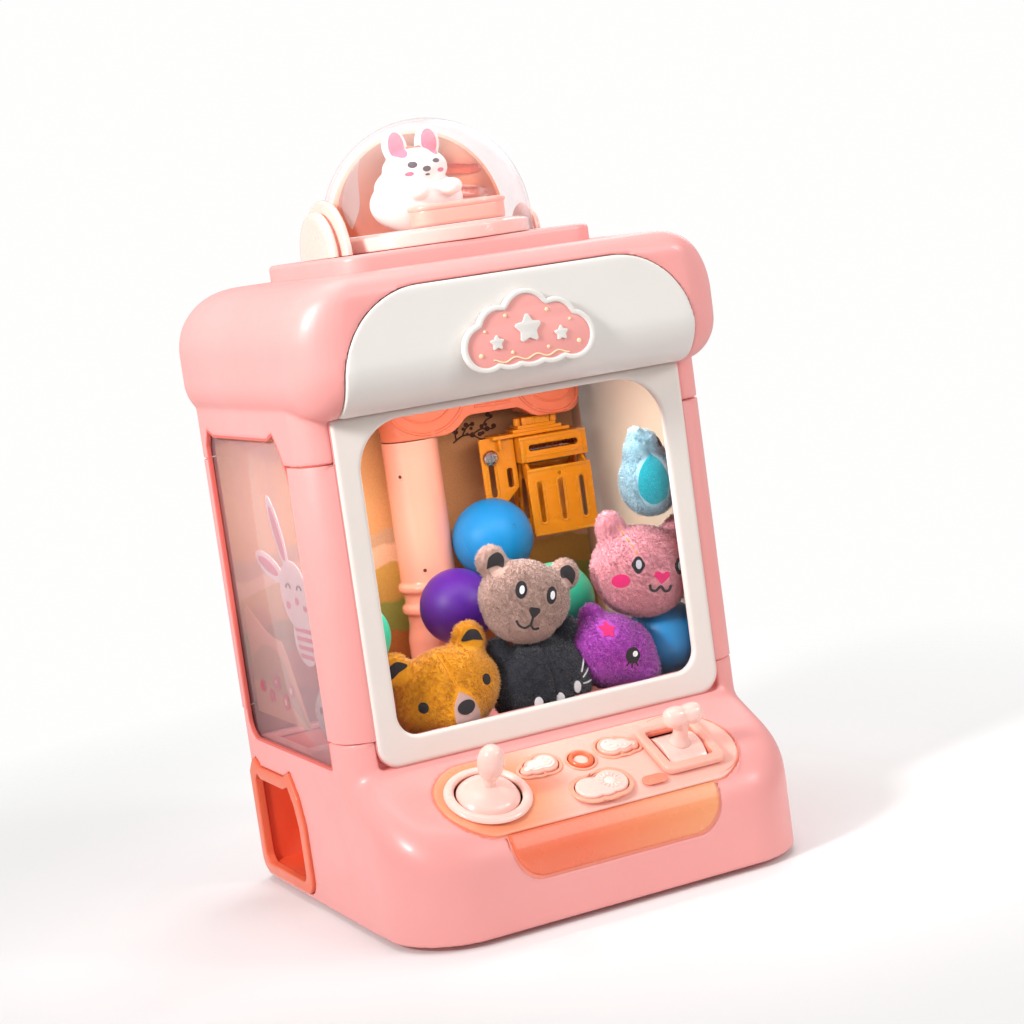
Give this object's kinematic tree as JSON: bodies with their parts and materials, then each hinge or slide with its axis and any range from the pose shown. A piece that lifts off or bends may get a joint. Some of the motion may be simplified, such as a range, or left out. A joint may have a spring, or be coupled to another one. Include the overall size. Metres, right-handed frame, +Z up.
{
  "type": "claw crane machine",
  "caption": "Desktop toy claw crane machine: windowed cabin of plush and ball prizes, swinging arm with a lifting two-jaw grab, joystick, lever, buttons and a domed top.",
  "frame": {"origin": "on the table under the middle of the whole machine's outer box", "axes": "+X to the player's right, the front faces -Y, +Z up"},
  "size_m": [0.23, 0.2156, 0.3857],
  "materials": {
    "pink_shell": "satin pink",
    "coral": "satin coral",
    "chute_red": "matt deep orange-red",
    "cream": "satin cream white",
    "pale_pink": "gloss pale pink",
    "clear": "clear plastic",
    "smoke": "lightly tinted clear plastic",
    "claw_orange": "translucent amber",
    "card": "printed card",
    "steel": "bright",
    "board_green": "solder mask",
    "gear_white": "natural",
    "figure_white": "painted",
    "ball_blue": "satin",
    "ball_teal": "satin",
    "ball_purple": "satin",
    "plush_grey": "short pile",
    "plush_orange": "short pile",
    "plush_black": "short pile",
    "plush_pink": "short pile",
    "plush_purple": "short pile",
    "plush_blue": "short pile",
    "plush_white": "long pile"
  },
  "bodies": {
    "machine": {"base_shell": "pink_shell", "base_plate": "pale_pink", "control_panel": "coral", "outlet_frame": "coral", "prize_chute": "chute_red", "cabin_floor": "pink_shell", "front_pillar_left": "pink_shell", "front_pillar_right": "pink_shell", "rear_housing": "pink_shell", "head_shell": "pink_shell", "ceiling_plate": "pale_pink", "marquee_panel": "cream", "window_frame": "cream", "front_window": "clear", "side_window_left": "smoke", "side_window_right": "smoke", "scenery_card": "card", "badge": "cream", "dome_base": "pale_pink", "dome_cover": "clear", "dome_hub_left": "pale_pink", "dome_hub_right": "pale_pink", "dome_backdrop": "coral", "rabbit_figure": "figure_white", "rabbit_console": "coral", "column_tube": "pink_shell", "joystick_collar": "pale_pink", "lever_bezel": "pale_pink", "main_board": "board_green", "swing_motor": "steel", "ball_blue": "ball_blue", "ball_blue_low": "ball_blue", "ball_teal": "ball_teal", "ball_teal_low": "ball_teal", "ball_purple": "ball_purple", "plush_bear_grey": "plush_grey", "plush_bear_orange": "plush_orange", "plush_cat_black": "plush_black", "plush_cat_pink": "plush_pink", "plush_purple": "plush_purple", "plush_blue": "plush_blue", "plush_white": "plush_white"},
    "swing": {"swing_gear": "gear_white", "swing_shaft": "steel", "crane_arm": "pink_shell", "claw_hanger": "claw_orange"},
    "pinion": {"motor_pinion": "gear_white"},
    "carriage": {"claw_carriage": "claw_orange", "guide_screw": "steel", "jaw_pin_front": "steel", "jaw_pin_rear": "steel"},
    "jaw_front": {"claw_jaw_front": "claw_orange"},
    "jaw_rear": {"claw_jaw_rear": "claw_orange"},
    "stick_gimbal": {"joystick_gimbal": "gear_white"},
    "stick": {"joystick": "pale_pink"},
    "lever": {"lever_handle": "pale_pink"},
    "button_left": {"button_left": "pale_pink"},
    "button_right": {"button_right": "pale_pink"},
    "button_centre": {"button_centre": "coral"},
    "button_cloud": {"button_cloud": "pale_pink"}
  },
  "joints": [
    {"name": "arm_swing", "type": "hinge", "parent": "machine", "child": "swing", "pos_m": [-0.003, 0.0748, 0.202], "axis": [0, 0, 1], "range_deg": [-165, 5]},
    {"name": "pinion_spin", "type": "hinge", "parent": "machine", "child": "pinion", "pos_m": [0.03, 0.0748, 0.042], "axis": [0, 0, 1], "range_deg": [-20, 500]},
    {"name": "claw_lift", "type": "slide", "parent": "swing", "child": "carriage", "axis": [0, 0, 1], "range_m": [-0.02, 0]},
    {"name": "jaw_front_close", "type": "hinge", "parent": "carriage", "child": "jaw_front", "pos_m": [0.0722, 0.06019, 0.205], "axis": [0.9903, -0.1392, 0], "range_deg": [0, 15.5]},
    {"name": "jaw_rear_close", "type": "hinge", "parent": "carriage", "child": "jaw_rear", "pos_m": [0.07331, 0.06811, 0.205], "axis": [0.9903, -0.1392, 0], "range_deg": [-15.5, 0]},
    {"name": "stick_fore_aft", "type": "hinge", "parent": "machine", "child": "stick_gimbal", "pos_m": [-0.0545, -0.0806, 0.06024], "axis": [1, 0, 0], "range_deg": [-20, 20]},
    {"name": "stick_side", "type": "hinge", "parent": "stick_gimbal", "child": "stick", "pos_m": [-0.0545, -0.0806, 0.06024], "axis": [0, 0.8942, 0.4478], "range_deg": [-20, 20]},
    {"name": "lever_rock", "type": "hinge", "parent": "machine", "child": "lever", "pos_m": [0.05, -0.07613, 0.0513], "axis": [1, 0, 0], "range_deg": [-18, 18]},
    {"name": "press_left", "type": "slide", "parent": "machine", "child": "button_left", "axis": [0, -0.4478, 0.8942], "range_m": [-0.0015, 0], "stiffness_N_per_m": 150},
    {"name": "press_right", "type": "slide", "parent": "machine", "child": "button_right", "axis": [0, -0.4478, 0.8942], "range_m": [-0.0015, 0], "stiffness_N_per_m": 150},
    {"name": "press_centre", "type": "slide", "parent": "machine", "child": "button_centre", "axis": [0, -0.4478, 0.8942], "range_m": [-0.0015, 0], "stiffness_N_per_m": 150},
    {"name": "press_cloud", "type": "slide", "parent": "machine", "child": "button_cloud", "axis": [0, -0.4478, 0.8942], "range_m": [-0.0015, 0], "stiffness_N_per_m": 150}
  ],
  "couplings": [
    {"joint": "pinion_spin", "follows": "arm_swing", "ratio": -3},
    {"joint": "jaw_rear_close", "follows": "jaw_front_close", "ratio": -1}
  ]
}
